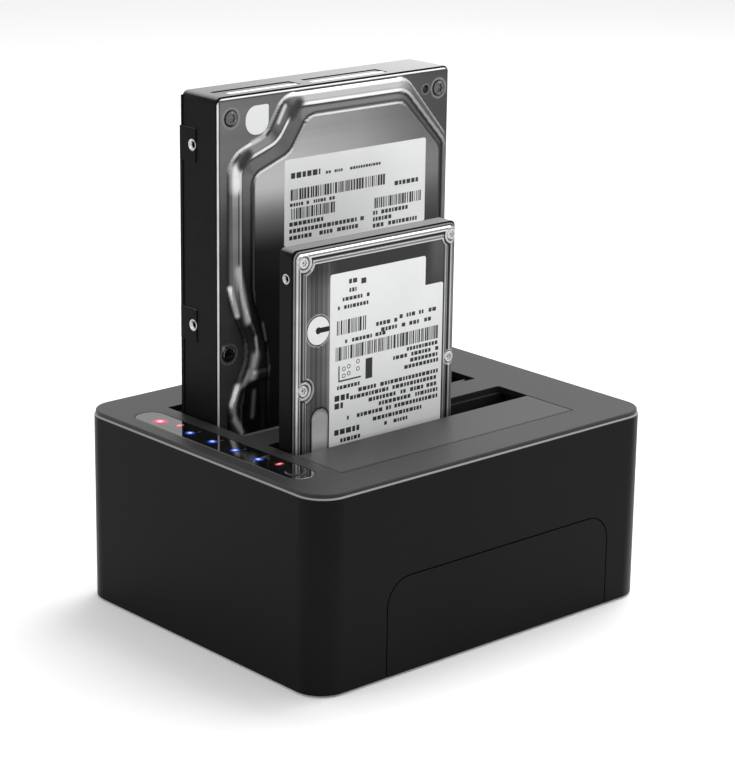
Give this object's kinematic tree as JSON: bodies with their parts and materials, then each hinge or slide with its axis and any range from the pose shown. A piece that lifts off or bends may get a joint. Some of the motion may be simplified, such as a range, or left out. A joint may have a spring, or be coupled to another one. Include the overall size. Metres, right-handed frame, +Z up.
{
  "type": "drive duplicator",
  "caption": "Drive duplicator dock holding a large and a small drive upright in bays with sprung dust flaps, beside an indicator window with lights and a clone button.",
  "frame": {"origin": "centre of the footprint, on the surface that the feet stand on", "axes": "+X along the front face to the right, +Y to the rear, +Z up"},
  "size_m": [0.1474, 0.1214, 0.1746],
  "materials": {
    "satin_black_plastic": "satin, moulded",
    "panel_black_plastic": "satin, moulded",
    "frame_black_plastic": "matt",
    "window_gloss_black": "gloss, smoked",
    "button_gloss_black": "gloss",
    "red_lens": "lit lens",
    "blue_lens": "lit lens",
    "pink_lens": "lit lens",
    "black_moulding": "matt",
    "chip_black": "matt",
    "capacitor_can": "satin",
    "circuit_board": "solder mask",
    "ribbon_grey": "matt",
    "port_steel": "plated",
    "steel": "satin",
    "spring_steel": "satin",
    "black_screw": "blackened",
    "foot_rubber": "matt",
    "cast_black_paint": "satin, fine cast grain",
    "stamped_cover": "brushed",
    "dark_casting": "satin",
    "platter_aluminium": "polished",
    "white_label": "satin label",
    "light_seal": "foil seal"
  },
  "bodies": {
    "dock": {"housing_shell": "satin_black_plastic", "front_panel": "panel_black_plastic", "top_plate": "satin_black_plastic", "base_plate": "satin_black_plastic", "rubber_feet": "foot_rubber", "housing_screws": "black_screw", "bay_frame_front": "frame_black_plastic", "bay_frame_rear": "frame_black_plastic", "flap_front_pin": "steel", "flap_rear_pin": "steel", "flap_front_spring": "spring_steel", "flap_rear_spring": "spring_steel", "indicator_window": "window_gloss_black", "power_led": "red_lens", "progress_leds": "blue_lens", "dash_leds": "pink_lens", "key_switch": "black_moulding", "indicator_board": "circuit_board", "indicator_screws": "black_screw", "ribbon_plugs": "black_moulding", "ribbon_cable": "ribbon_grey", "main_board": "circuit_board", "board_screws": "steel", "board_chips": "chip_black", "board_capacitors": "capacitor_can", "socket_front": "black_moulding", "socket_rear": "black_moulding", "usb_port": "port_steel", "dc_jack": "black_moulding", "power_switch_body": "black_moulding"},
    "flap_front": {"flap_front": "satin_black_plastic"},
    "flap_rear": {"flap_rear": "satin_black_plastic"},
    "clone_button": {"clone_button": "button_gloss_black", "button_plunger": "button_gloss_black"},
    "power_rocker": {"power_rocker": "button_gloss_black"},
    "drive_35": {"drive35_base": "cast_black_paint", "drive35_cover": "stamped_cover", "drive35_cover_screws": "steel", "drive35_label": "white_label", "drive35_seal": "light_seal", "drive35_end_labels": "white_label", "drive35_board": "circuit_board", "drive35_chips": "chip_black", "drive35_plug": "black_moulding", "drive35_platters": "platter_aluminium", "drive35_spindle": "platter_aluminium", "drive35_actuator": "platter_aluminium"},
    "drive_25": {"drive25_base": "dark_casting", "drive25_cover": "stamped_cover", "drive25_cover_screws": "steel", "drive25_label": "white_label", "drive25_ring_seal": "white_label", "drive25_board": "circuit_board", "drive25_plug": "black_moulding"}
  },
  "joints": [
    {"name": "drive_35_lift", "type": "slide", "parent": "dock", "child": "drive_35", "axis": [0, 0, 1], "range_m": [0, 0.05]},
    {"name": "drive_25_lift", "type": "slide", "parent": "dock", "child": "drive_25", "axis": [0, 0, 1], "range_m": [0, 0.045]},
    {"name": "flap_front_hinge", "type": "hinge", "parent": "dock", "child": "flap_front", "pos_m": [-0.0003, -0.0447, 0.0624], "axis": [-1, 0, 0], "range_deg": [0, 90], "stiffness_Nm_per_rad": 0.002, "springref_deg": -34.38},
    {"name": "flap_rear_hinge", "type": "hinge", "parent": "dock", "child": "flap_rear", "pos_m": [-0.0003, 0.0029, 0.0624], "axis": [-1, 0, 0], "range_deg": [0, 24.6], "stiffness_Nm_per_rad": 0.002, "springref_deg": -99.75},
    {"name": "clone_button_travel", "type": "slide", "parent": "dock", "child": "clone_button", "axis": [0, 0, -1], "range_m": [0, 0.0007], "stiffness_N_per_m": 400, "springref_m": -0.002},
    {"name": "power_switch_rock", "type": "hinge", "parent": "dock", "child": "power_rocker", "pos_m": [0.031, 0.0559, 0.0285], "axis": [0, 0, 1], "range_deg": [0, 16]}
  ]
}
